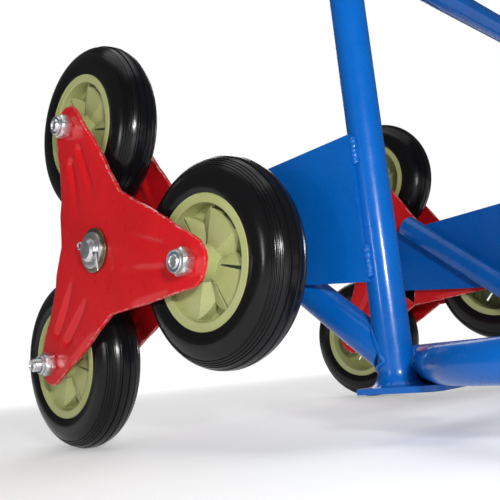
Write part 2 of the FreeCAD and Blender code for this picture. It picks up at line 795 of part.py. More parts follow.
def make_stars():
    plate = make_star_plate("star_plate")
    tyre = make_tyre()
    hub = make_hub()
    nut = make_nut()
    collar = make_nut_collar()
    sleeve = make_wheel_sleeve()
    pivot = make_pivot_tube()
    proud = dict(zip(ARMS, (size.bolt_proud_top, size.bolt_proud_rear, size.bolt_proud_front)))
    bolts = {arm: make_bolt(f"bolt_{arm}", proud[arm]) for arm in ARMS}
    inner_offset = -(size.plate_half_gap.value + size.plate_thickness.value)
    for side_name, side in SIDES.items():
        first_arm = arm_turn(side, "top")
        for label, offset in (("outer", size.plate_half_gap.value), ("inner", inner_offset)):
            place = star_placement(side, first_arm).multiply(Placement(Vector(0, 0, offset), Rotation()))
            node(f"star_plate_{label}_{side_name}", copy_of(f"plate_{label}_{side_name}", plate, place))
        node(f"pivot_tube_{side_name}", copy_of(f"pivot_{side_name}", pivot, star_placement(side)))
        sets = {"wheel_bolts": bolts, "lock_nuts": dict.fromkeys(ARMS, nut),
                "nut_collars": dict.fromkeys(ARMS, collar), "wheel_sleeves": dict.fromkeys(ARMS, sleeve)}
        for label, sources in sets.items():
            members = [copy_of(f"{label}_{side_name}_{arm}", sources[arm], arm_placement(side, arm))
                       for arm in ARMS]
            node(f"{label}_{side_name}", gather(f"{label}_{side_name}_set", members))
        for arm in ARMS:
            upright_again = Placement(Vector(), Rotation(Vector(0, 0, 1), hub_turn(side, arm)))
            place = arm_placement(side, arm).multiply(upright_again)
            node(f"tyre_{side_name}_{arm}", copy_of(f"tyre_copy_{side_name}_{arm}", tyre, place))
            node(f"hub_{side_name}_{arm}", copy_of(f"hub_copy_{side_name}_{arm}", hub, place))


def hub_turn(side, arm):
    """Turn of a wheel about its bolt, so that every hub's web starts at the same clock position."""
    return arm_turn(side, "top") - 90.0 - arm_turn(side, arm)


def check_document():
    """Stop if any feature failed or any sub-part is not a valid solid."""
    for feature in document.Objects:
        if "Invalid" in feature.State or "Error" in feature.State:
            raise RuntimeError(f"{feature.Name} failed: {feature.State}")
    for label, feature in nodes.items():
        shape = feature.Shape
        if shape.isNull() or not shape.isValid() or not shape.Solids:
            raise RuntimeError(f"{label} has no valid solid")


def write_parts():
    os.makedirs("parts", exist_ok=True)
    for label, feature in nodes.items():
        feature.Shape.exportStep(f"parts/{label}.step")


make_frame()
make_stars()
document.recompute()
check_document()
write_parts()
for label, feature in nodes.items():
    print(f"{label}: {len(feature.Shape.Solids)} solid(s), {feature.Shape.Volume:.0f} mm3")
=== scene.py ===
"""Stair-climbing hand truck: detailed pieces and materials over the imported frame, in metres.

+Z is up, -Y is towards the load, and local z of a star points outwards from the truck.
"""
import json
import math

import bmesh
import bpy
from mathutils import Matrix, Vector, noise


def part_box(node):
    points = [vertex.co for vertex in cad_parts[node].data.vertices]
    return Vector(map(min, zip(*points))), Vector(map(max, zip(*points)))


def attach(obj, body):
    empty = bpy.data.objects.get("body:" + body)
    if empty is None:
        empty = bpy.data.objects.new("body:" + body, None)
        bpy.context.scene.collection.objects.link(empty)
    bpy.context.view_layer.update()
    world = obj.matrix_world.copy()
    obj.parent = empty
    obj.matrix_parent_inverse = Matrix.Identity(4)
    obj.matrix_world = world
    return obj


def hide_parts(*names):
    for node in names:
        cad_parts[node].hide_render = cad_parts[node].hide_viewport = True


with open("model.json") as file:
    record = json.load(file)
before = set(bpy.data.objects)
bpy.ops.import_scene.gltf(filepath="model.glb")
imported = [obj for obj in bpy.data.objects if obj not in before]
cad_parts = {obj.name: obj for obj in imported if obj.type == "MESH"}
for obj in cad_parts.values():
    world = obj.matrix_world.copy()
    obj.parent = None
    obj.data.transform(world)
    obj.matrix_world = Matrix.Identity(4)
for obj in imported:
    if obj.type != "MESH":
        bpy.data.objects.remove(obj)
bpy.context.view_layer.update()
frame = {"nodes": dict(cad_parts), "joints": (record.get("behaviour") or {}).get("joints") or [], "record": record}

MM = 0.001
WELD_DISTANCE = 1e-6
SIDES = {"left": 1.0, "right": -1.0}
ARMS = ("top", "rear", "front")
JOINTS = {joint["name"]: Vector(joint["pos_m"]) for joint in frame["joints"]}


# ---------------------------------------------------------------- shader graph


class Shader:
    """Adds nodes to one material and joins them."""

    def __init__(self, name):
        self.material = bpy.data.materials.new(name)
        self.material.use_nodes = True
        self.tree = self.material.node_tree
        self.surface = self.tree.nodes["Principled BSDF"]
        self.place = self.add("ShaderNodeTexCoord").outputs["Object"]

    def feed(self, socket, value):
        if isinstance(value, bpy.types.NodeSocket):
            self.tree.links.new(value, socket)
        else:
            socket.default_value = value

    def add(self, kind, inputs=(), **settings):
        node = self.tree.nodes.new(kind)
        for key, value in settings.items():
            setattr(node, key, value)
        for key, value in dict(inputs).items():
            self.feed(node.inputs[key], value)
        return node

    def stretched(self, scale):
        """Object coordinates, scaled differently along each axis."""
        return self.add("ShaderNodeMapping", {"Vector": self.place, "Scale": scale}).outputs["Vector"]

    def noise(self, scale, detail=4.0, roughness=0.55, place=None):
        node = self.add("ShaderNodeTexNoise", {"Vector": place or self.place, "Scale": scale,
                                               "Detail": detail, "Roughness": roughness})
        return node.outputs["Fac"]

    def ramp(self, value, low, high, to_low=0.0, to_high=1.0):
        node = self.add("ShaderNodeMapRange", {"Value": value, "From Min": low, "From Max": high,
                                               "To Min": to_low, "To Max": to_high})
        node.interpolation_type = "SMOOTHSTEP"
        return node.outputs["Result"]

    def math(self, operation, first, second=0.0):
        node = self.add("ShaderNodeMath", operation=operation)
        self.feed(node.inputs[0], first)
        self.feed(node.inputs[1], second)
        return node.outputs["Value"]

    def mix(self, factor, first, second):
        node = self.add("ShaderNodeMix", data_type="RGBA")
        for index, value in ((0, factor), (6, first), (7, second)):
            self.feed(node.inputs[index], value)
        return node.outputs[2]

    def edges(self, radius, low=0.02, high=0.16):
        """1 on sharp edges and 0 on flat faces."""
        bevel = self.add("ShaderNodeBevel", {"Radius": radius}, samples=4)
        true_normal = self.add("ShaderNodeNewGeometry").outputs["Normal"]
        dot = self.add("ShaderNodeVectorMath", operation="DOT_PRODUCT")
        self.feed(dot.inputs[0], bevel.outputs["Normal"])
        self.feed(dot.inputs[1], true_normal)
        return self.ramp(self.math("SUBTRACT", 1.0, dot.outputs["Value"]), low, high)

    def bump(self, *layers):
        """Stack of (height, strength, distance) bumps, joined to the surface."""
        normal = None
        for height, strength, distance in layers:
            node = self.add("ShaderNodeBump", {"Height": height, "Strength": strength,
                                               "Distance": distance})
            if normal:
                self.feed(node.inputs["Normal"], normal)
            normal = node.outputs["Normal"]
        self.feed(self.surface.inputs["Normal"], normal)

    def finish(self, **inputs):
        for key, value in inputs.items():
            self.feed(self.surface.inputs[key.replace("_", " ")], value)
        return self.material


def colour(red, green, blue):
    return (red, green, blue, 1.0)


# ---------------------------------------------------------------- materials


def paint(name, base, deep, chip, chip_size, chip_amount, gloss):
    """Glossy sprayed paint: orange peel, faint handling marks, and chips along the edges."""
    s = Shader(name)
    tone = s.ramp(s.noise(14.0, 5.0), 0.35, 0.7)
    worn = s.math("MULTIPLY", s.edges(chip_size), s.ramp(s.noise(170.0, 6.0, 0.7), chip_amount,
                                                         chip_amount + 0.05))
    specks = s.ramp(s.noise(420.0, 3.0, 0.6), 0.76, 0.79)
    patches = s.ramp(s.noise(11.0, 2.0), 0.5, 0.62)
    nicks = s.math("MULTIPLY", specks, patches)
    bare = s.math("MAXIMUM", worn, nicks)
    coat = s.mix(tone, colour(*base), colour(*deep))
    dust = s.ramp(s.noise(60.0, 8.0, 0.7), 0.6, 0.95, 0.0, 0.02)
    coat = s.mix(dust, coat, colour(0.35, 0.33, 0.3))
    s.feed(s.surface.inputs["Base Color"], s.mix(bare, coat, colour(*chip)))
    rough = s.ramp(s.noise(90.0, 6.0, 0.65), 0.3, 0.8, gloss, gloss + 0.14)
    s.feed(s.surface.inputs["Roughness"], s.math("ADD", rough, s.math("MULTIPLY", bare, 0.3)))
    scratches = s.ramp(s.noise(55.0, 3.0, 0.5, s.stretched((1.0, 1.0, 14.0))), 0.66, 0.7)
    s.bump((s.noise(260.0, 2.0), 0.10, 0.0006), (scratches, 0.015, 0.0004),
           (s.math("SUBTRACT", 1.0, bare), 0.2, 0.0002))
    return s.finish(Coat_Weight=0.22, Coat_Roughness=0.07, Specular_IOR_Level=0.25)


def rubber_tyre():
    """Moulded black rubber: shiny sidewall, dusty scuffed tread and fine handling marks."""
    s = Shader("tyre_rubber_detail")
    dust = s.ramp(s.noise(35.0, 8.0, 0.72), 0.56, 0.9, 0.0, 0.06)
    smear = s.ramp(s.noise(22.0, 6.0, 0.6, s.stretched((5.0, 1.0, 1.0))), 0.62, 0.8, 0.0, 0.05)
    scuffs = s.ramp(s.noise(150.0, 7.0, 0.75), 0.67, 0.78, 0.0, 0.30)
    grey = s.math("MAXIMUM", s.math("MAXIMUM", dust, smear), scuffs)
    s.feed(s.surface.inputs["Base Color"], s.mix(grey, colour(0.0048, 0.0048, 0.0054),
                                                 colour(0.11, 0.105, 0.1)))
    rough = s.ramp(s.noise(48.0, 7.0, 0.6), 0.3, 0.8, 0.16, 0.28)
    s.feed(s.surface.inputs["Roughness"], s.math("ADD", rough, s.math("MULTIPLY", grey, 0.9)))
    s.bump((s.noise(700.0, 3.0), 0.10, 0.0004), (s.noise(60.0, 4.0), 0.10, 0.0010))
    return s.finish(Specular_IOR_Level=0.28)


def hub_plastic():
    """Olive moulded plastic with flow marks, a matte skin and a painted highlight along every sharp edge."""
    s = Shader("hub_plastic_detail")
    flow = s.ramp(s.noise(26.0, 6.0, 0.6), 0.3, 0.72)
    base = s.mix(flow, colour(0.365, 0.395, 0.150), colour(0.425, 0.455, 0.205))
    fine = s.ramp(s.noise(500.0, 3.0), 0.3, 0.7, 0.0, 0.16)
    base = s.mix(fine, base, colour(0.24, 0.25, 0.08))
    # painted highlight: every sharp edge is lightened towards pale olive, as if lit
    painted_edge_highlight = s.math("MULTIPLY", s.edges(0.0009, 0.03, 0.3), 0.32)
    base = s.mix(painted_edge_highlight, base, colour(0.55, 0.57, 0.33))
    grime = s.ramp(s.noise(40.0, 8.0, 0.75), 0.6, 0.85, 0.0, 0.4)
    s.feed(s.surface.inputs["Base Color"], s.mix(grime, base, colour(0.17, 0.17, 0.07)))
    s.feed(s.surface.inputs["Roughness"], s.ramp(s.noise(120.0, 4.0), 0.2, 0.8, 0.36, 0.52))
    s.bump((s.noise(900.0, 2.0), 0.12, 0.0003), (s.noise(45.0, 3.0), 0.08, 0.0012))
    return s.finish(Specular_IOR_Level=0.45, Subsurface_Weight=0.04, Subsurface_Scale=0.002)


def plated(name, base, stain, rough_low, rough_high):
    """Zinc plated steel: brushed grain, faint mottling and dull stains."""
    s = Shader(name)
    mottle = s.ramp(s.noise(130.0, 6.0, 0.7), 0.38, 0.74)
    s.feed(s.surface.inputs["Base Color"], s.mix(mottle, colour(*base), colour(*stain)))
    grain = s.noise(90.0, 5.0, 0.7, s.stretched((40.0, 6.0, 6.0)))
    s.feed(s.surface.inputs["Roughness"], s.ramp(grain, 0.25, 0.75, rough_low, rough_high))
    s.bump((grain, 0.06, 0.0004), (s.noise(300.0, 4.0), 0.10, 0.0003))
    return s.finish(Metallic=1.0)


def nylon():
    """Blue translucent locking ring."""
    s = Shader("nylon_detail")
    tone = s.ramp(s.noise(220.0, 4.0), 0.3, 0.7)
    s.feed(s.surface.inputs["Base Color"], s.mix(tone, colour(0.03, 0.12, 0.25), colour(0.06, 0.19, 0.34)))
    s.feed(s.surface.inputs["Roughness"], s.ramp(s.noise(300.0, 3.0), 0.2, 0.8, 0.25, 0.4))
    s.bump((s.noise(500.0, 3.0), 0.1, 0.0003))
    return s.finish(Subsurface_Weight=0.2, Subsurface_Scale=0.002)


def grip_rubber():
    """Matte black grip rubber with a fine pebble and a greasy shine where it is held."""
    s = Shader("grip_rubber_detail")
    worn = s.ramp(s.noise(24.0, 5.0), 0.4, 0.7)
    s.feed(s.surface.inputs["Base Color"], s.mix(worn, colour(0.012, 0.012, 0.012),
                                                 colour(0.022, 0.021, 0.02)))
    s.feed(s.surface.inputs["Roughness"], s.ramp(worn, 0.0, 1.0, 0.62, 0.42))
    pebble = s.add("ShaderNodeTexVoronoi", {"Vector": s.place, "Scale": 900.0}).outputs["Distance"]
    s.bump((pebble, 0.3, 0.0003), (s.noise(80.0, 4.0), 0.1, 0.001))
    return s.finish(Specular_IOR_Level=0.35)


MATERIALS = {
    "blue_paint": paint("blue_paint_detail", (0.0010, 0.098, 0.405), (0.0008, 0.083, 0.35),
                        (0.05, 0.045, 0.04), 0.0011, 0.60, 0.22),
    "red_paint": paint("red_paint_detail", (0.62, 0.0085, 0.0135), (0.53, 0.0065, 0.0105),
                       (0.60, 0.57, 0.54), 0.0024, 0.49, 0.26),
    "tyre_rubber": rubber_tyre(),
    "hub_plastic": hub_plastic(),
    "zinc_steel": plated("zinc_steel_detail", (0.76, 0.77, 0.79), (0.50, 0.51, 0.53), 0.28, 0.44),
    "yellow_zinc": plated("yellow_zinc_detail", (0.30, 0.28, 0.19), (0.16, 0.15, 0.10), 0.22, 0.42),
    "nylon": nylon(),
    "grip_rubber": grip_rubber(),
}


# ---------------------------------------------------------------- mesh tools


def make_piece(name, points, faces, slot, body, replaced=(), sharp=35.0):
    """A mesh in the row frame that rides on a body and takes a record slot's finish."""
    mesh = bpy.data.meshes.new(name)
    mesh.from_pydata([tuple(p) for p in points], [], faces)
    mesh.validate()
    tool = bmesh.new()
    tool.from_mesh(mesh)
    bmesh.ops.remove_doubles(tool, verts=tool.verts, dist=WELD_DISTANCE)
    bmesh.ops.recalc_face_normals(tool, faces=tool.faces)
    tool.to_mesh(mesh)
    tool.free()
    mesh.shade_smooth()
    mesh.set_sharp_from_angle(angle=math.radians(sharp))
    mesh.materials.append(MATERIALS[slot])
    piece = bpy.data.objects.new(name, mesh)
    bpy.context.scene.collection.objects.link(piece)
    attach(piece, body)
    if replaced:
        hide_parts(*replaced)
    return piece


def lathe(profile, segments, place, closed=True, radius_at=None):
    """Points and faces of a profile of (radius, z) turned about local z."""
    points = []
    for step in range(segments):
        turn = 2.0 * math.pi * step / segments
        for radius, z in profile:
            reach = radius_at(radius, z, turn) if radius_at else radius
            points.append(place @ Vector((reach * math.cos(turn), reach * math.sin(turn), z)))
    count = len(profile)
    spans = count if closed else count - 1
    faces = []
    for step in range(segments):
        here, there = step * count, (step + 1) % segments * count
        for n in range(spans):
            m = (n + 1) % count
            faces.append((here + n, there + n, there + m, here + m))
    if not closed:
        faces.append(tuple(step * count for step in reversed(range(segments))))
        faces.append(tuple(step * count + count - 1 for step in range(segments)))
    return points, faces


def sweep(path, radius_at, sides=14, closed=False):
    """Tube along a list of points; radius_at(fraction, turn) gives its radius."""
    count = len(path)
    tangents = []
    for n in range(count):
        before = path[n - 1] if n or closed else path[n]
        after = path[(n + 1) % count] if n < count - 1 or closed else path[n]
        tangents.append((after - before).normalized())
    across = tangents[0].orthogonal().normalized()
    points = []
    for n, centre in enumerate(path):
        across = (across - tangents[n] * across.dot(tangents[n])).normalized()
        other = tangents[n].cross(across)
        for side in range(sides):
            turn = 2.0 * math.pi * side / sides
            radius = radius_at(n / max(count - 1, 1), turn)
            points.append(centre + (across * math.cos(turn) + other * math.sin(turn)) * radius)
    faces = []
    for n in range(count if closed else count - 1):
        here, there = n * sides, (n + 1) % count * sides
        for side in range(sides):
            nxt = (side + 1) % sides
            faces.append((here + side, here + nxt, there + nxt, there + side))
    if not closed:
        faces.append(tuple(reversed(range(sides))))
        faces.append(tuple((count - 1) * sides + side for side in range(sides)))
    return points, faces


def joined(parts):
    """One list of points and faces from several."""
    points, faces = [], []
    for more_points, more_faces in parts:
        offset = len(points)
        points += more_points
        faces += [tuple(index + offset for index in face) for face in more_faces]
    return points, faces


def star_place(side, centre, turn=0.0):
    """Local frame of a star or an arm: z outwards, y up before the turn."""
    outward = Vector((side, 0.0, 0.0))
    up = Vector((0.0, 0.0, 1.0))
    across = up.cross(outward)
    axes = Matrix((across, up, outward)).transposed().to_4x4()
    return Matrix.Translation(centre) @ axes @ Matrix.Rotation(turn, 4, "Z")


def arm_angle(side_name, side, arm):
    """Angle of an arm in its star's frame, read from the joints."""
    reach = JOINTS[f"wheel_spin_{side_name}_{arm}"] - JOINTS[f"star_spin_{side_name}"]
    across = Vector((0.0, 0.0, 1.0)).cross(Vector((side, 0.0, 0.0)))
    return math.atan2(reach.z, reach.dot(across))


# ---------------------------------------------------------------- CAD parts that stay


def dress_cad_nodes():
    """Give every CAD node the detailed material of its record slot."""
    slots = {row["node"]: row["material_slot"] for row in frame["record"]["subparts"]}
    for name, node in frame["nodes"].items():
        material = MATERIALS[slots[name]]
        if not node.data.materials:
            node.data.materials.append(material)
        for slot in node.material_slots:
            slot.link = "OBJECT"
            slot.material = material


def round_edges(piece, width, angle=60.0, segments=2):
    """Round the edges sharper than an angle in degrees."""
    bevel = piece.modifiers.new("edge_round", "BEVEL")
    bevel.width = width
    bevel.segments = segments
    bevel.limit_method = "ANGLE"
    bevel.angle_limit = math.radians(angle)


# ---------------------------------------------------------------- sizes read from the frame


def half_extent(name, axis):
    low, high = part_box(name)
    return (high[axis] - low[axis]) / 2.0


def middle_of(name):
    low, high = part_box(name)
    return (low + high) / 2.0


def local_span(name, side_name):
    """Where a node starts and ends along its star's outward axis."""
    low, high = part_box(name)
    plane = JOINTS[f"star_spin_{side_name}"].x
    return sorted(SIDES[side_name] * (x - plane) for x in (low.x, high.x))


TYRE_RADIUS = half_extent("tyre_right_top", 2)
TYRE_SECTION = half_extent("tyre_right_top", 0)
RIM_RADIUS = half_extent("hub_right_top", 2)
BOSS_HALF_LENGTH = half_extent("hub_right_top", 0)
WHEEL_CIRCLE = (JOINTS["wheel_spin_right_top"] - JOINTS["star_spin_right"]).length
PLATE_INNER, PLATE_OUTER = local_span("star_plate_outer_right", "right")
NUT_START, NUT_END = local_span("lock_nuts_right", "right")
COLLAR_START, COLLAR_END = local_span("nut_collars_right", "right")
AXLE_RADIUS = half_extent("axle", 2)
TUBE_RADIUS = (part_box("foot_cross_tube")[1].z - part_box("foot_cross_tube")[0].z) / 2.0
FOOT_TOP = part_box("foot_plate_right")[1].z
UPRIGHT_X = (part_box("upright_right")[0].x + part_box("upright_right")[1].x) / 2.0
UPRIGHT_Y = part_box("upright_right")[0].y + TUBE_RADIUS


def smooth(low, high, value):
    """0 below low, 1 above high, and an S-curve between; low may be above high."""
    share = min(1.0, max(0.0, (value - low) / (high - low)))
    return share * share * (3.0 - 2.0 * share)


# ---------------------------------------------------------------- wheels

WHEEL_SEGMENTS = 112
RIM_HALF_WIDTH = 19.2 * MM
RIM_INNER = 43.5 * MM
BOSS_RADIUS = 14.0 * MM
BORE_RADIUS = 8.1 * MM
PANEL_HEIGHT = 14.4 * MM     # front face of a raised panel, above the wheel's middle plane
VALLEY_HEIGHT = 4.4 * MM     # floor between a low facet and the rim
WEB_THICKNESS = 2.4 * MM
FIRST_RIB = 11.0             # degrees, as are the other angles of the web
SECTORS = 8
SECTOR = 360.0 / SECTORS
WALL_TURN = 0.6          # degrees that each side of a sector gives to the wall beside it
FACET_DIP = 13.0 * MM    # how far the outer edge of a low facet dips towards the boss
FACET_DROP = 4.5 * MM
FACET_STEPS, FACET_ROWS, FLOOR_ROWS = 12, 26, 3
SLOTS = {2: 3.0, 6: 2.8, 7: 4.4}      # width of the slot at the start of a sector
SLOT_TO_BOSS, SLOT_TO_RIM = 3.0 * MM, 1.4 * MM
CRESCENT_SPAN = 1.5 * SECTOR
CRESCENT_EDGE, CRESCENT_SWELL = 2.8 * MM, 1.6 * MM
# angle round the section and half width, both in degrees, and depth
SHOULDER_LINES = [(sign * angle, 2.0, 0.8 * MM) for angle in (34.5, 41.0, 47.5, 54.0) for sign in (-1, 1)]
TREAD_GROOVES = [(angle, 3.6, 1.3 * MM) for angle in (-20.0, 0.0, 20.0)]


def tyre_profile():
    """Round section with moulded grooves, closed by its seat on the rim."""
    centre = TYRE_RADIUS - TYRE_SECTION
    limit = math.degrees(math.acos((RIM_RADIUS - centre) / TYRE_SECTION))
    grooves = SHOULDER_LINES + TREAD_GROOVES
    count = 64
    clear = 1.2      # plain points keep this many half widths away from a groove
    angles = {-limit + 2.0 * limit * n / count for n in range(count + 1)}
    for middle, half, _ in grooves:
        angles = {angle for angle in angles if abs(angle - middle) > half * clear}
        angles.update(middle + half * share for share in (-1.0, -0.5, 0.0, 0.5, 1.0))
    profile = []
    for angle in sorted(angles):
        depth = max(deep * smooth(1.0, 0.4, abs(angle - middle) / half) for middle, half, deep in grooves)
        turn = math.radians(angle)
        reach = TYRE_SECTION - depth
        profile.append((centre + reach * math.cos(turn), reach * math.sin(turn)))
    return profile


def rim_profile():
    """Rim ring: flat faces with a bevelled inner lip and a small bead against the tyre."""
    half = RIM_HALF_WIDTH
    lip = 1.1 * MM
    bead = 0.5 * MM
    face = [(RIM_INNER, half - lip), (RIM_INNER + 0.35 * lip, half - 0.3 * lip),
            (RIM_INNER + lip, half), (RIM_RADIUS - 3.0 * bead, half),
            (RIM_RADIUS - 2.0 * bead, half + 0.5 * bead), (RIM_RADIUS - bead, half + 0.4 * bead),
            (RIM_RADIUS - 0.2 * bead, half - bead)]
    return face + [(radius, -z) for radius, z in reversed(face)]


def boss_profile():
    """Tapered boss with a bore and small end bevels."""
    edge = 0.8 * MM
    reach = BOSS_HALF_LENGTH
    neck = PANEL_HEIGHT + 2.0 * MM
    outside = [(BORE_RADIUS, reach - edge / 2.0), (BORE_RADIUS + edge / 2.0, reach),
               (BOSS_RADIUS - 1.5 * edge, reach), (BOSS_RADIUS - 0.6 * edge, reach - edge),
               (BOSS_RADIUS - 0.2 * edge, neck), (BOSS_RADIUS, 0.0)]
    return outside + [(radius, -z) for radius, z in reversed(outside[:-1])]


def web_columns():
    """Angle, fold and slot of each column of the web: raised panels and folded facets in turn."""
    columns = []
    for sector in range(SECTORS):
        start = FIRST_RIB + sector * SECTOR
        slot = SLOTS.get(sector, 0.0)
        raised = sector % 2 == 0
        if slot:
            columns.append((start + WALL_TURN, 0.0, raised, True))
        first, last = start + slot + WALL_TURN, start + SECTOR - WALL_TURN
        for step in range(FACET_STEPS + 1):
            share = step / FACET_STEPS
            fold = 0.0 if raised else 1.0 - abs(2.0 * share - 1.0)
            columns.append((first + (last - first) * share, fold, raised, False))
    return columns


def web_stations(fold, raised):
    """Radius and height of each row of a column: the facet, then the step down to the floor."""
    inner = BOSS_RADIUS - 0.6 * MM
    outer = RIM_INNER + 0.6 * MM
    edge = RIM_INNER - 1.2 * MM - FACET_DIP * fold
    facet = PANEL_HEIGHT - FACET_DROP * fold
    floor = PANEL_HEIGHT if raised else VALLEY_HEIGHT
    stations = [(inner + (edge - inner) * n / FACET_ROWS, facet) for n in range(FACET_ROWS + 1)]
    foot = edge + 0.9 * MM
    stations += [(foot + (outer - foot) * n / FLOOR_ROWS, floor) for n in range(FLOOR_ROWS + 1)]
    return stations


def web_is_open(angle, slotted, radius):
    """Slots beside three ribs, and the crescent gap between one raised panel and the rim."""
    if slotted and BOSS_RADIUS + SLOT_TO_BOSS < radius < RIM_INNER - SLOT_TO_RIM:
        return True
    local = (angle - FIRST_RIB + SECTOR / 2.0) % 360.0
    swell = CRESCENT_SWELL * math.sin(math.pi * local / CRESCENT_SPAN)
    return local < CRESCENT_SPAN and radius > RIM_INNER - CRESCENT_EDGE - swell


def hub_web(place):
    """Closed shell of constant thickness over the polar grid, with its openings."""
    columns = web_columns()
    rows = FACET_ROWS + FLOOR_ROWS + 2
    points = []
    for drop in (0.0, WEB_THICKNESS):
        for angle, fold, raised, _ in columns:
            turn = math.radians(angle)
            points += [place @ Vector((radius * math.cos(turn), radius * math.sin(turn), height - drop))
                       for radius, height in web_stations(fold, raised)]
    count = len(columns)
    below = count * rows
    solid = {}
    for column, (angle, fold, raised, slotted) in enumerate(columns):
        width = (columns[(column + 1) % count][0] - angle) % 360.0
        stations = web_stations(fold, raised)
        for row in range(rows - 1):
            middle = (stations[row][0] + stations[row + 1][0]) / 2.0
            solid[column, row] = not web_is_open(angle + width / 2.0, slotted, middle)
    faces = []
    for (column, row), present in solid.items():
        if not present:
            continue
        there = (column + 1) % count
        a, b = column * rows + row, column * rows + row + 1
        c, d = there * rows + row + 1, there * rows + row
        faces += [(a, b, c, d), (a + below, d + below, c + below, b + below)]
        sides = {(column, row - 1): (a, d), (column, row + 1): (b, c),
                 ((column - 1) % count, row): (a, b), (there, row): (d, c)}
        for neighbour, (first, second) in sides.items():
            if not solid.get(neighbour, False):
                faces.append((first, second, second + below, first + below))
    return points, faces


def make_wheel(side_name, side, arm):
    """Grooved tyre and pleated hub of one wheel."""
    centre = JOINTS[f"wheel_spin_{side_name}_{arm}"]
    upright = arm_angle(side_name, side, "top") - math.pi / 2.0
    place = star_place(side, centre, upright)
    body = f"wheel_{side_name}_{arm}"
    points, faces = lathe(tyre_profile(), WHEEL_SEGMENTS, place)
    make_piece(f"grooved_tyre_{side_name}_{arm}", points, faces, "tyre_rubber", body,
               [f"tyre_{side_name}_{arm}"])
    points, faces = joined([lathe(rim_profile(), WHEEL_SEGMENTS, place),
                            lathe(boss_profile(), WHEEL_SEGMENTS // 2, place), hub_web(place)])
    make_piece(f"pleated_hub_{side_name}_{arm}", points, faces, "hub_plastic", body,
               [f"hub_{side_name}_{arm}"], sharp=14.0)


# ---------------------------------------------------------------- pressed star plates

ARM_HALF = math.radians(60.0)
NOTCH_RADIUS = 59.0 * MM
TIP_RADIUS = 19.5 * MM
PIVOT_HOLE = 10.1 * MM
BOLT_HOLE = 6.25 * MM
FLUTE_DEPTH = {"top": 3.2 * MM, "rear": 3.2 * MM, "front": 1.1 * MM}
FLUTE_END = 97.0 * MM
FLUTE_STAGGER = 2.0 * MM            # one flute ends later and the other sooner by this much
FLUTE_RUN_OUT = 2.2 * MM
FLUTE_FADE = (32.0 * MM, 78.0 * MM)     # along the arm, where a flute grows to its full depth
FLUTE_OFFSET = 8.5 * MM
FLUTE_SPREAD = 0.11
FLUTE_HALF, FLUTE_FLOOR = 6.8 * MM, 0.6 * MM
EDGE_ROLL = 1.6 * MM
EDGE_BAND = 6.0 * MM
ROLL_START = (54.0 * MM, 70.0 * MM)     # along the arm
ROLL_FINISH = (107.0 * MM, 97.0 * MM)
EDGE_SLOPE = math.radians(17.87)    # angle between an arm's middle line and its straight edge
PLATE_RAYS, PLATE_ROWS = 76, 58
RAY_CROWDING = 1.6                  # gathers the rays towards the arm's middle
PRESSED_EDGE_ROUND = 0.5 * MM
PLATE_EDGE_ROUND = 0.6 * MM


def arm_reach(angle):
    """Distance from the pivot to the plate's edge, at an angle from the arm's middle."""
    angle = abs(angle)
    notch = Vector((math.cos(ARM_HALF), math.sin(ARM_HALF))) * NOTCH_RADIUS
    away = Vector((WHEEL_CIRCLE, 0.0)) - notch
    slope = math.atan2(away.y, away.x) + math.asin(TIP_RADIUS / away.length)
    along = Vector((math.cos(slope), math.sin(slope)))
    tangent = notch + along * math.sqrt(away.length ** 2 - TIP_RADIUS ** 2)
    if angle > math.atan2(tangent.y, tangent.x):
        turned = math.cos(angle) * along.y - math.sin(angle) * along.x
        return (notch.x * along.y - notch.y * along.x) / turned
    drop = WHEEL_CIRCLE * math.sin(angle)
    return WHEEL_CIRCLE * math.cos(angle) + math.sqrt(TIP_RADIUS ** 2 - drop ** 2)


def pressed_depth(along, across, edge_distance, depth):
    """How far the sheet is pressed in: two flutes beside a ridge, and edges rolled back."""
    flute = 0.0
    for sign in (-1.0, 1.0):
        middle = sign * (FLUTE_OFFSET + (FLUTE_END - along) * FLUTE_SPREAD)
        end = FLUTE_END - sign * FLUTE_STAGGER
        section = smooth(FLUTE_HALF, FLUTE_FLOOR, abs(across - middle))
        run = smooth(end + FLUTE_RUN_OUT, end - FLUTE_RUN_OUT, along) * smooth(*FLUTE_FADE, along)
        flute = max(flute, section * run)
    roll = smooth(EDGE_BAND, 0.0, edge_distance) * smooth(*ROLL_START, along)
    roll *= smooth(*ROLL_FINISH, along)
    return depth * flute + EDGE_ROLL * roll


def plate_grid(side_name, side):
    """Grid of (arm's middle angle, along, across, pressed depth) over the whole star, ray by ray."""
    grid = []
    for arm in ARMS:
        middle = arm_angle(side_name, side, arm)
        for ray in range(PLATE_RAYS):
            share = 2.0 * ray / PLATE_RAYS - 1.0
            angle = math.copysign(ARM_HALF * abs(share) ** RAY_CROWDING, share)
            reach = arm_reach(angle)
            for row in range(PLATE_ROWS + 1):
                radius = PIVOT_HOLE + (reach - PIVOT_HOLE) * row / PLATE_ROWS
                along, across = radius * math.cos(angle), radius * math.sin(angle)
                edge_gap = (reach - radius) * math.sin(abs(angle) + EDGE_SLOPE)
                pressed = pressed_depth(along, across, edge_gap, FLUTE_DEPTH[arm])
                grid.append((middle, along, across, pressed))
    return grid


def open_bolt_holes(grid):
    """Faces of the grid outside the bolt holes; the points beside a hole move onto its circle."""
    stride = PLATE_ROWS + 1
    columns = len(grid) // stride
    centre = Vector((WHEEL_CIRCLE, 0.0))
    well_inside = BOLT_HOLE * 0.9
    kept = {index for index, (_, along, across, _) in enumerate(grid)
            if (Vector((along, across)) - centre).length > well_inside}
    quads, beside = [], set()
    for column in range(columns):
        here, there = column * stride, (column + 1) % columns * stride
        for row in range(PLATE_ROWS):
            quad = (here + row, here + row + 1, there + row + 1, there + row)
            if kept.issuperset(quad):
                quads.append(quad)
            else:
                beside.update(kept.intersection(quad))
    for index in beside:
        middle, along, across, pressed = grid[index]
        spoke = (Vector((along, across)) - centre).normalized() * BOLT_HOLE
        grid[index] = (middle, WHEEL_CIRCLE + spoke.x, spoke.y, pressed)
    return quads


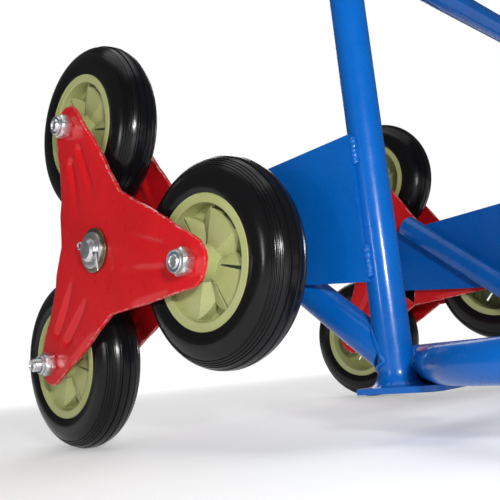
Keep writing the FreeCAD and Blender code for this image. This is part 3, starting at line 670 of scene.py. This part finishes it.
def open_edges(quads):
    """Edges that belong to one face only."""
    uses = {}
    for quad in quads:
        for n in range(4):
            key = tuple(sorted((quad[n], quad[(n + 1) % 4])))
            uses[key] = uses.get(key, 0) + 1
    return [edge for edge, count in uses.items() if count == 1]


def make_star_plate(name, side, side_name, body, node, facing):
    """One pressed sheet; facing is +1 for the outer plate and -1 for the inner one."""
    place = star_place(side, JOINTS[f"star_spin_{side_name}"])
    grid = plate_grid(side_name, side)
    quads = open_bolt_holes(grid)
    points = []
    for level in (PLATE_OUTER, PLATE_INNER):
        for middle, along, across, pressed in grid:
            spot = Matrix.Rotation(middle, 3, "Z") @ Vector((along, across, 0.0))
            spot.z = facing * (level - pressed)
            points.append(place @ spot)
    below = len(grid)
    faces = quads + [tuple(index + below for index in reversed(quad)) for quad in quads]
    faces += [(a, b, b + below, a + below) for a, b in open_edges(quads)]
    plate = make_piece(name, points, faces, "red_paint", body, [node], sharp=48.0)
    round_edges(plate, PRESSED_EDGE_ROUND)


# ---------------------------------------------------------------- fasteners

THREAD_PITCH = 1.75 * MM
THREAD_DEPTH = 0.55 * MM
BOLT_RADIUS = 6.0 * MM
NUT_CORNER = 10.9 * MM
NUT_FLAT = NUT_CORNER * math.cos(math.radians(30.0))
NUT_TURNS = {"top": 12.0, "rear": -8.0, "front": 22.0}      # degrees
BOLT_HEAD = 7.0 * MM
BOLT_PROUD = {"top": 14.0 * MM, "rear": 20.0 * MM, "front": 13.6 * MM}


def hexagon_radius(turn, radius):
    """Distance to a hexagon's side in a direction, or the given radius where that is less."""
    sector = math.radians(60.0)
    return min(radius, NUT_FLAT / math.cos((turn % sector) - sector / 2.0))


def thread_radius(start, end):
    """Radius of a cut thread that begins at one height and runs out in a chamfer at the other."""
    def radius_at(radius, z, turn):
        if radius < BOLT_RADIUS * 0.9 or not start < z < end:
            return radius
        phase = (z / THREAD_PITCH - turn / (2.0 * math.pi)) % 1.0
        return radius - THREAD_DEPTH * (1.0 - abs(2.0 * phase - 1.0))
    return radius_at


def bolt_profile(tip):
    """Outline of a bolt from the head's underside to its tip, with a dimple in the end."""
    head_end, head_start = -PLATE_OUTER, -PLATE_OUTER - BOLT_HEAD
    chamfer = 1.6 * MM
    profile = [(0.0, head_start), (NUT_FLAT * 0.94, head_start), (NUT_CORNER, head_start + chamfer),
               (NUT_CORNER, head_end), (BOLT_RADIUS, head_end), (BOLT_RADIUS, NUT_END)]
    thread = tip - chamfer - NUT_END
    steps = int(thread / (THREAD_PITCH / 6.0))
    profile += [(BOLT_RADIUS, NUT_END + thread * n / steps) for n in range(1, steps + 1)]
    profile += [(BOLT_RADIUS * 0.8, tip), (BOLT_RADIUS * 0.66, tip), (BOLT_RADIUS * 0.6, tip - 0.9 * MM),
                (0.0, tip - 1.3 * MM)]
    return profile


def make_bolts(side_name, side):
    """The three wheel bolts of a star: hexagon heads behind, threaded tips in front."""
    parts = []
    for arm in ARMS:
        place = star_place(side, JOINTS[f"wheel_spin_{side_name}_{arm}"], arm_angle(side_name, side, arm))
        tip = PLATE_OUTER + BOLT_PROUD[arm]
        cut_thread = thread_radius(NUT_END, tip - 1.0 * MM)

        def radius_at(radius, z, turn):
            if radius > BOLT_RADIUS * 1.2:
                return hexagon_radius(turn, radius)
            return cut_thread(radius, z, turn)
        parts.append(lathe(bolt_profile(tip), 60, place, closed=False, radius_at=radius_at))
    points, faces = joined(parts)
    make_piece(f"threaded_bolts_{side_name}", points, faces, "zinc_steel", f"star_{side_name}",
               [f"wheel_bolts_{side_name}"], sharp=28.0)


def make_nuts(side_name, side):
    """Locking nuts: a chamfered hexagon with a turned-in steel collar round its nylon ring."""
    chamfer = 1.7 * MM
    collar = 8.6 * MM
    nylon_radius = 6.7 * MM
    lip = 0.7 * MM
    seat = 1.0 * MM
    foot = NUT_START + 0.1 * MM
    steel = [(BOLT_RADIUS, foot), (NUT_FLAT * 0.96, foot),
             (NUT_CORNER, NUT_START + chamfer), (NUT_CORNER, NUT_END - chamfer),
             (NUT_FLAT * 0.96, NUT_END), (collar, NUT_END), (collar, COLLAR_END - 2.0 * lip),
             (collar - 0.3 * lip, COLLAR_END - 0.7 * lip), (collar - lip, COLLAR_END),
             (nylon_radius + 0.3 * lip, COLLAR_END - 0.2 * lip), (nylon_radius, COLLAR_END - lip),
             (nylon_radius, NUT_END - seat), (BOLT_RADIUS, NUT_END - seat)]
    bore = BOLT_RADIUS + 0.02 * MM
    nylon = [(bore, NUT_END - 0.8 * seat), (nylon_radius, NUT_END - 0.8 * seat),
             (nylon_radius, COLLAR_END - 1.4 * lip), (nylon_radius - 0.3 * lip, COLLAR_END - lip),
             (BOLT_RADIUS + 0.3 * lip, COLLAR_END - 0.9 * lip), (bore, COLLAR_END - 1.4 * lip)]

    def hexagon(radius, z, turn):
        return hexagon_radius(turn, radius) if radius > collar + 0.2 * MM else radius
    nuts, rings = [], []
    for arm in ARMS:
        turn = arm_angle(side_name, side, arm) + math.radians(NUT_TURNS[arm])
        place = star_place(side, JOINTS[f"wheel_spin_{side_name}_{arm}"], turn)
        nuts.append(lathe(steel, 60, place, radius_at=hexagon))
        rings.append(lathe(nylon, 48, place))
    points, faces = joined(nuts)
    make_piece(f"nyloc_nuts_{side_name}", points, faces, "zinc_steel", f"star_{side_name}",
               [f"lock_nuts_{side_name}"], sharp=26.0)
    points, faces = joined(rings)
    make_piece(f"nylon_rings_{side_name}", points, faces, "nylon", f"star_{side_name}",
               [f"nut_collars_{side_name}"])


def washer_profile(inner, outer, low, high):
    """Flat ring with small bevels."""
    edge = 0.45 * MM
    corner = 0.3 * edge
    return [(inner, low + edge), (inner + edge, low), (outer - edge, low), (outer - corner, low + corner),
            (outer, low + edge), (outer, high - edge), (outer - corner, high - corner),
            (outer - edge, high), (inner + edge, high), (inner, high - edge)]


def make_washer(node, name, slot, side_name, side):
    """Washer round the axle, in place of a plain CAD ring."""
    low, high = local_span(node, side_name)
    radius = half_extent(node, 2)
    place = star_place(side, JOINTS[f"star_spin_{side_name}"])
    points, faces = lathe(washer_profile(AXLE_RADIUS + 0.2 * MM, radius, low, high), 96, place)
    make_piece(name, points, faces, slot, "frame", [node])


PIN_WIRE = 0.8 * MM
PIN_HALF_SPAN = 11.5 * MM
PIN_EYE = 2.9 * MM
PIN_TURN = math.radians(-25.0)
PIN_BEND = math.radians(-59.0)
PIN_LEGS = (15.0 * MM, 12.0 * MM)
PIN_OPENING = math.radians(35.0)        # half the eye's opening towards the shank


def make_split_pin(side_name, side):
    """One wire folded into an eye, passed through the axle and bent over beyond it."""
    level = local_span(f"small_washer_{side_name}", side_name)[1] + 2.0 * PIN_WIRE
    turn = PIN_TURN if side < 0 else math.pi - PIN_TURN
    bend = PIN_BEND if side < 0 else -PIN_BEND
    place = star_place(side, JOINTS[f"star_spin_{side_name}"]) @ Matrix.Translation((0, 0, level))
    place = place @ Matrix.Rotation(turn, 4, "Z")
    knee = Vector((PIN_HALF_SPAN, 0.0, 0.0))
    leg = Vector((math.cos(bend), math.sin(bend), 0.0))
    halfway = Vector((math.cos(bend / 2.0), math.sin(bend / 2.0), 0.0))
    across = Vector((-halfway.y, halfway.x, 0.0))
    leg_across = Vector((-leg.y, leg.x, 0.0))
    path = [knee + leg_across * PIN_WIRE + leg * PIN_LEGS[0] * share for share in (1.0, 0.7, 0.4, 0.16)]
    path.append(knee + across * PIN_WIRE * 1.04)
    path += [Vector((PIN_HALF_SPAN * share, PIN_WIRE, 0.0)) for share in (0.8, 0.3, -0.3, -0.9)]
    eye = Vector((-PIN_HALF_SPAN - PIN_EYE - 0.6 * MM, 0.0, 0.0))
    steps = 18
    for step in range(steps + 1):
        angle = PIN_OPENING + (2.0 * math.pi - 2.0 * PIN_OPENING) * step / steps
        path.append(eye + Vector((math.cos(angle), math.sin(angle), 0.0)) * PIN_EYE)
    path += [Vector((PIN_HALF_SPAN * share, -PIN_WIRE, 0.0)) for share in (-0.9, -0.3, 0.3, 0.8)]
    path.append(knee - across * PIN_WIRE * 1.04)
    path += [knee - leg_across * PIN_WIRE + leg * PIN_LEGS[1] * share for share in (0.16, 0.4, 0.7, 1.0)]
    points, faces = sweep([place @ p for p in path], lambda share, turn: PIN_WIRE, 12)
    make_piece(f"cotter_wire_{side_name}", points, faces, "zinc_steel", "frame",
               [f"split_pin_{side_name}"])


# ---------------------------------------------------------------- grips and welds

HANDLE_BEND = math.radians(62.0)
GRIP_RADIUS = 16.5 * MM
GRIP_HALF_LENGTH = 64.0 * MM
GRIP_RIBS = 22
GRIP_COLLARS = (11.0 * MM, 16.0 * MM)       # plain length before the first rib and after the last
GUSSET_WELDS = ((2.0 * MM, 22.0 * MM), (3.0 * MM, 26.0 * MM))   # from its top, and from its bottom
GUSSET_BEAD, BAR_BEAD, BRACE_BEAD = 3.0 * MM, 1.7 * MM, 1.8 * MM
# where a brace's middle line starts and ends, in front of and above the axle
BRACE_FOOT_REACH, BRACE_FOOT_HEIGHT = 218.0 * MM, -109.8 * MM
BRACE_TOP_REACH, BRACE_TOP_HEIGHT = 38.0 * MM, 39.6 * MM


def make_grip(side_name):
    """Ribbed rubber grip with a thick collar and a rounded closed end."""
    way = Vector((0.0, math.sin(HANDLE_BEND), math.cos(HANDLE_BEND)))
    across = Vector((1.0, 0.0, 0.0))
    axes = Matrix((across, way.cross(across), way)).transposed().to_4x4()
    place = Matrix.Translation(middle_of(f"handle_grip_{side_name}")) @ axes
    bore = TUBE_RADIUS + 0.1 * MM
    length = GRIP_HALF_LENGTH
    waist = GRIP_RADIUS - 1.6 * MM
    profile = [(bore, -length + 0.6 * MM), (bore + 0.6 * MM, -length), (GRIP_RADIUS - 1.2 * MM, -length),
               (GRIP_RADIUS - 0.3 * MM, -length + 0.4 * MM), (GRIP_RADIUS, -length + 1.4 * MM),
               (GRIP_RADIUS, -length + 6.0 * MM), (waist, -length + 8.0 * MM)]
    start, end = -length + GRIP_COLLARS[0], length - GRIP_COLLARS[1]
    pitch = (end - start) / GRIP_RIBS
    crest = waist + 0.9 * MM
    for rib in range(GRIP_RIBS):
        base = start + rib * pitch
        profile += [(waist, base), (crest, base + 0.22 * pitch), (crest, base + 0.5 * pitch),
                    (waist, base + 0.72 * pitch)]
    profile += [(waist, end + 2.0 * MM), (GRIP_RADIUS, end + 4.0 * MM), (GRIP_RADIUS, length - 5.0 * MM),
                (GRIP_RADIUS - 1.0 * MM, length - 2.2 * MM), (GRIP_RADIUS - 3.4 * MM, length - 0.5 * MM),
                (GRIP_RADIUS - 6.5 * MM, length), (0.0, length), (0.0, length - 6.0 * MM),
                (bore, length - 6.0 * MM)]
    points, faces = lathe(profile, 56, place)
    make_piece(f"ribbed_grip_{side_name}", points, faces, "grip_rubber", "frame",
               [f"handle_grip_{side_name}"], sharp=50.0)


def bead_radius(size, pitch_count, seed):
    """Radius along a weld: overlapping ripples with an uneven hand."""
    def radius_at(share, turn):
        ripple = abs(math.sin(math.pi * pitch_count * share))
        drift = noise.noise(Vector((share * pitch_count * 0.9, math.cos(turn), seed)))
        ends = smooth(0.0, 0.06, share) * smooth(1.0, 0.94, share)
        return size * (0.35 + 0.65 * ends) * (0.86 + 0.16 * ripple + 0.18 * drift)
    return radius_at


def ring_radius(size, pitch_count, seed):
    """The same for a weld that runs right round a tube and meets itself."""
    def radius_at(share, turn):
        ripple = abs(math.sin(math.pi * pitch_count * share))
        way = 2.0 * math.pi * share
        drift = noise.noise(Vector((math.cos(way) * 2.0, math.sin(way) * 2.0, seed + math.cos(turn) * 0.3)))
        return size * (0.86 + 0.18 * ripple + 0.16 * drift)
    return radius_at


def saddle(centre, along, radius, host, steps=72):
    """Line where a tube along 'along' meets the surface of the upright through 'centre'."""
    path = []
    level = Vector((0.0, 0.0, 1.0)).cross(along).normalized()
    rise = along.cross(level)
    flat_along = Vector((along.x, along.y, 0.0))
    for step in range(steps):
        turn = 2.0 * math.pi * step / steps
        offset = level * math.cos(turn) * radius + rise * math.sin(turn) * radius
        flat_offset = Vector((offset.x, offset.y, 0.0))
        a = flat_along.length_squared
        b = flat_along.dot(flat_offset)
        c = flat_offset.length_squared - host ** 2
        reach = (-b + math.sqrt(max(0.0, b * b - a * c))) / a
        path.append(centre + offset + along * reach)
    return path


def gusset_welds(side_name, side, x):
    """Two short beads down the gusset's front edge."""
    low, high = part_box(f"gusset_{side_name}")
    (top_start, top_end), (bottom_start, bottom_end) = GUSSET_WELDS
    face = x + side * (TUBE_RADIUS + 1.0 * MM)
    front = low.y - 0.9 * MM
    wobble = 0.5 * MM
    steps = 40
    parts = []
    for index, (start, end) in enumerate(((high.z - top_end, high.z - top_start),
                                          (low.z + bottom_start, low.z + bottom_end))):
        path = [Vector((face + side * wobble * math.sin(n), front, start + (end - start) * n / steps))
                for n in range(steps + 1)]
        parts.append(sweep(path, bead_radius(GUSSET_BEAD, 9, index + side), 14))
    return parts


def make_welds(side_name, side):
    """Weld beads where the tubes, plates and uprights meet."""
    x = side * abs(UPRIGHT_X)
    parts = gusset_welds(side_name, side, x)
    bars = ("cross_bar_lower", "cross_bar_middle", "cross_bar_upper", "foot_cross_tube")
    for index, name in enumerate(bars):
        bar = middle_of(name)
        inward = Vector((-side, 0.0, 0.0))
        path = saddle(Vector((x, bar.y, bar.z)), inward, half_extent(name, 2), TUBE_RADIUS)
        parts.append(sweep(path, ring_radius(BAR_BEAD, 20, index * 3.0 + side), 10, closed=True))
    rise = BRACE_TOP_HEIGHT - BRACE_FOOT_HEIGHT
    along = Vector((0.0, BRACE_FOOT_REACH - BRACE_TOP_REACH, rise)).normalized()
    axle = JOINTS["star_spin_right"]
    foot = Vector((x, axle.y - BRACE_FOOT_REACH, axle.z + BRACE_FOOT_HEIGHT))
    foot -= along * ((foot.y - UPRIGHT_Y) / along.y)
    path = saddle(foot, along, TUBE_RADIUS, TUBE_RADIUS)
    parts.append(sweep(path, ring_radius(BRACE_BEAD, 22, 5.0 + side), 10, closed=True))
    points, faces = joined(parts)
    make_piece(f"weld_beads_{side_name}", points, faces, "blue_paint", "frame", sharp=60.0)


def make_foot_fillet(side_name, side):
    """Flared weld that seats the upright on its foot plate."""
    place = Matrix.Translation((side * abs(UPRIGHT_X), UPRIGHT_Y, FOOT_TOP))
    flare, rise = 7.0 * MM, 11.0 * MM
    inner = TUBE_RADIUS - 0.6 * MM      # sunk a little into the tube and the plate
    profile = [(inner, -0.2 * MM)]
    steps = 10
    for step in range(steps + 1):
        turn = math.pi / 2.0 * step / steps
        profile.append((TUBE_RADIUS + flare * (1.0 - math.sin(turn)) + 0.05 * MM,
                        rise * (1.0 - math.cos(turn)) - 0.15 * MM))
    profile.append((inner, rise))

    def uneven(radius, z, turn):
        if radius <= TUBE_RADIUS:
            return radius
        lumps = noise.noise(Vector((math.cos(turn) * 5.0, math.sin(turn) * 5.0, z * 300.0 + side)))
        ripple = abs(math.sin(turn * 13.0))
        return radius + (radius - TUBE_RADIUS) * (0.22 * lumps + 0.10 * ripple)
    points, faces = lathe(profile, 96, place, radius_at=uneven)
    make_piece(f"foot_weld_{side_name}", points, faces, "blue_paint", "frame", sharp=60.0)


def make_details():
    """Every piece that covers or joins the CAD nodes."""
    for side_name, side in SIDES.items():
        star = f"star_{side_name}"
        for arm in ARMS:
            make_wheel(side_name, side, arm)
        make_star_plate(f"pressed_plate_outer_{side_name}", side, side_name, star,
                        f"star_plate_outer_{side_name}", 1.0)
        make_star_plate(f"pressed_plate_inner_{side_name}", side, side_name, star,
                        f"star_plate_inner_{side_name}", -1.0)
        make_bolts(side_name, side)
        make_nuts(side_name, side)
        make_washer(f"large_washer_{side_name}", f"thick_washer_{side_name}", "yellow_zinc",
                    side_name, side)
        make_washer(f"small_washer_{side_name}", f"thin_washer_{side_name}", "zinc_steel",
                    side_name, side)
        make_split_pin(side_name, side)
        make_grip(side_name)
        make_welds(side_name, side)
        make_foot_fillet(side_name, side)
        for plate in ("gusset", "foot_plate"):
            round_edges(frame["nodes"][f"{plate}_{side_name}"], PLATE_EDGE_ROUND)


# ---------------------------------------------------------------- camera, light, floor


def make_camera():
    """Close, low camera in front of the right-hand star, rolled a little and looking slightly up."""
    place = Vector((-0.5599, -0.3273, 0.0627))
    azimuth, elevation, roll = (math.radians(a) for a in (-44.43, 9.25, -5.97))
    look = Vector((-math.sin(azimuth) * math.cos(elevation), math.cos(azimuth) * math.cos(elevation),
                   math.sin(elevation)))
    right = look.cross(Vector((0.0, 0.0, 1.0))).normalized()
    level = Matrix((right, right.cross(look), -look)).transposed().to_4x4()
    camera = bpy.data.objects.new("camera", bpy.data.cameras.new("camera"))
    camera.data.sensor_width = 36.0
    camera.data.lens = 49.38
    camera.data.clip_start = 0.02
    camera.matrix_world = Matrix.Translation(place) @ level @ Matrix.Rotation(roll, 4, "Z")
    bpy.context.scene.collection.objects.link(camera)
    bpy.context.scene.camera = camera


STAR = JOINTS["star_spin_right"]
# name, place, target, width, height, watts
LIGHTS = (
    ("key", (-0.61, -0.60, 0.21), STAR, 0.07, 0.07, 4.9),       # small, beside the camera
    ("fill", (-1.62, 0.19, 0.3), STAR, 0.12, 0.24, 2.2),        # long shine on the sidewalls
    ("top", (-0.3, 0.0, 2.8), (0.0, 0.0, 0.4), 2.4, 2.4, 24.0),
    ("back", (1.7, 2.1, 1.5), (0.0, 0.0, 0.5), 1.6, 1.6, 22.0),
)
WORLD_SEEN, WORLD_LIGHT = 1.0, 0.10     # white behind the object, but dim as a light
FLOOR_REACH = 4.0
FLOOR_GLOW_NEAR = (0.9, 0.30)           # distance from the object, emission
FLOOR_GLOW_FAR = (3.6, 0.95)


def make_light(name, place, target, width, height, watts):
    light = bpy.data.objects.new(name, bpy.data.lights.new(name, "AREA"))
    light.data.shape = "RECTANGLE"
    light.data.size = width
    light.data.size_y = height
    light.data.energy = watts
    aim = (Vector(target) - Vector(place)).to_track_quat("-Z", "Y")
    light.matrix_world = Matrix.Translation(place) @ aim.to_matrix().to_4x4()
    bpy.context.scene.collection.objects.link(light)


def make_world():
    world = bpy.data.worlds.new("studio")
    world.use_nodes = True
    tree = world.node_tree
    shown = tree.nodes.new("ShaderNodeLightPath").outputs["Is Camera Ray"]
    strength = tree.nodes.new("ShaderNodeMapRange")
    strength.inputs["To Min"].default_value = WORLD_LIGHT
    strength.inputs["To Max"].default_value = WORLD_SEEN
    tree.links.new(shown, strength.inputs["Value"])
    tree.links.new(strength.outputs["Result"], tree.nodes["Background"].inputs["Strength"])
    tree.nodes["Background"].inputs["Color"].default_value = colour(1.0, 1.0, 1.0)
    bpy.context.scene.world = world
    bpy.context.scene.view_settings.view_transform = "Standard"


def make_floor():
    """Plain pale floor that glows more with distance, so that it fades into the white world."""
    floor = Shader("floor_pale")
    floor.feed(floor.surface.inputs["Base Color"], colour(0.86, 0.86, 0.86))
    floor.feed(floor.surface.inputs["Roughness"], 0.9)
    floor.feed(floor.surface.inputs["Emission Color"], colour(1.0, 1.0, 1.0))
    away = floor.add("ShaderNodeVectorMath", operation="LENGTH")
    floor.feed(away.inputs[0], floor.place)
    (near, dim), (far, bright) = FLOOR_GLOW_NEAR, FLOOR_GLOW_FAR
    floor.feed(floor.surface.inputs["Emission Strength"],
               floor.ramp(away.outputs["Value"], near, far, dim, bright))
    corners = [(x * FLOOR_REACH, y * FLOOR_REACH, 0.0) for x, y in ((-1, -1), (1, -1), (1, 1), (-1, 1))]
    mesh = bpy.data.meshes.new("floor")
    mesh.from_pydata(corners, [], [(0, 1, 2, 3)])
    mesh.materials.append(floor.material)
    plane = bpy.data.objects.new("floor", mesh)
    bpy.context.scene.collection.objects.link(plane)


def make_studio():
    make_world()
    make_floor()
    for light in LIGHTS:
        make_light(*light)


dress_cad_nodes()
make_camera()
make_studio()
make_details()
